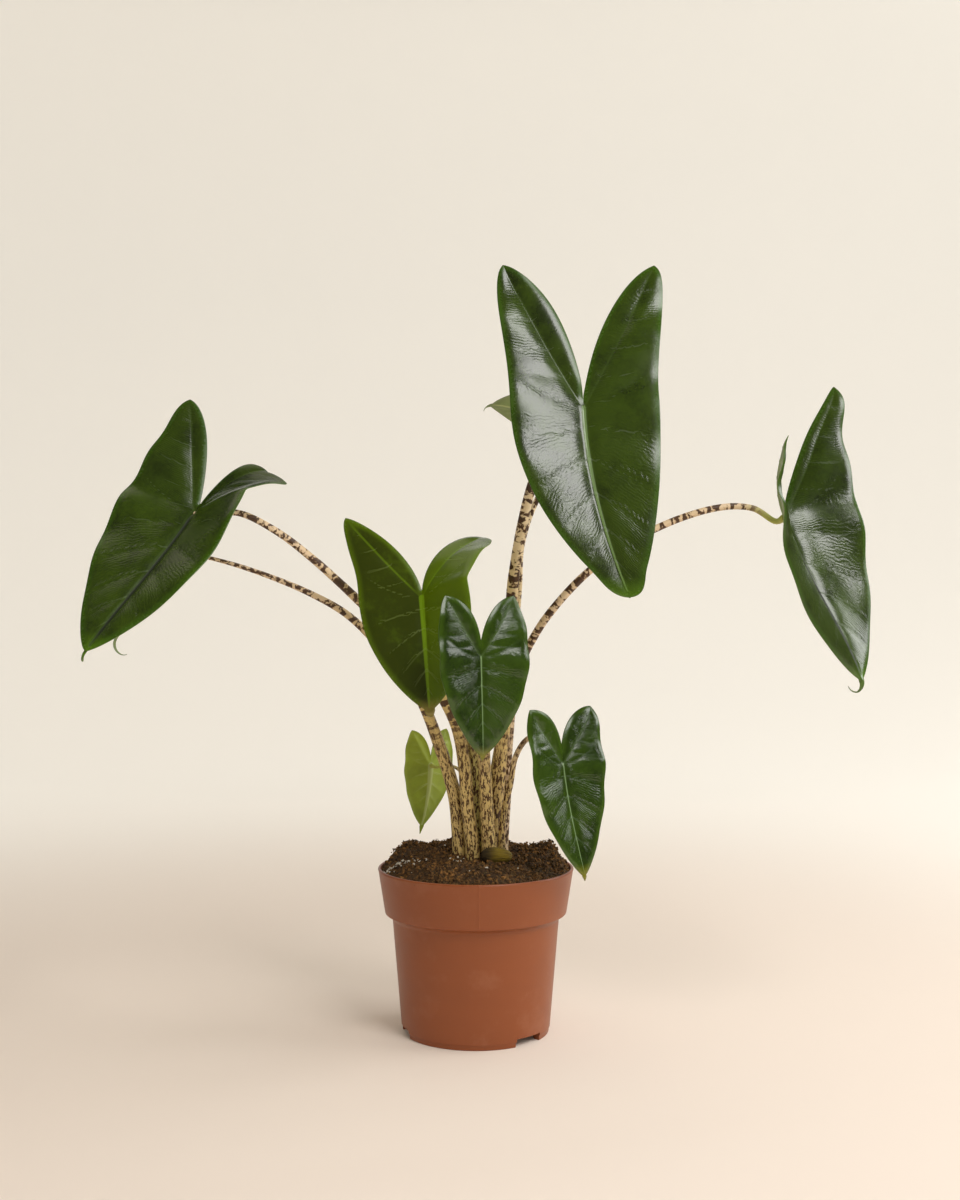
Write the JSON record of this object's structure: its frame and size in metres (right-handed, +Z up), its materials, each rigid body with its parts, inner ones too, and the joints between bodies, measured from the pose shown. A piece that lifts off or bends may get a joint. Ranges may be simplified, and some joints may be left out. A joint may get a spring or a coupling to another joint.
{
  "type": "potted alocasia zebrina",
  "caption": "Potted house plant: glossy arrow-shaped blades on long zebra-banded stalks from one buried corm, in soil in a round tapered nursery pot that stands on its flat base.",
  "frame": {"origin": "on the pot's axis, at the level of the surface that the pot stands on", "axes": "+Z up; -Y to the front, where the highest blade shows its upper face; +X to the right seen from the front"},
  "size_m": [0.4637, 0.1927, 0.4608],
  "materials": {
    "pot": "satin",
    "soil": "matte",
    "corm": "matte",
    "petiole": "satin",
    "blade": "gloss",
    "blade_bluish": "gloss",
    "blade_young": "gloss",
    "cataphyll": "satin"
  },
  "bodies": {
    "root": {"pot": "pot", "soil": "soil", "corm": "corm", "petiole_crown": "petiole", "blade_crown": "blade", "petiole_left": "petiole", "blade_left": "blade", "petiole_right": "petiole", "blade_right": "blade", "petiole_middle": "petiole", "blade_middle": "blade_young", "petiole_front": "petiole", "blade_front": "blade_bluish", "petiole_low_right": "petiole", "blade_low_right": "blade_bluish", "petiole_low_left": "petiole", "blade_low_left": "blade_young", "petiole_back_left": "petiole", "blade_back_left": "blade", "petiole_back": "petiole", "blade_back": "blade", "cataphyll": "cataphyll"}
  },
  "joints": []
}
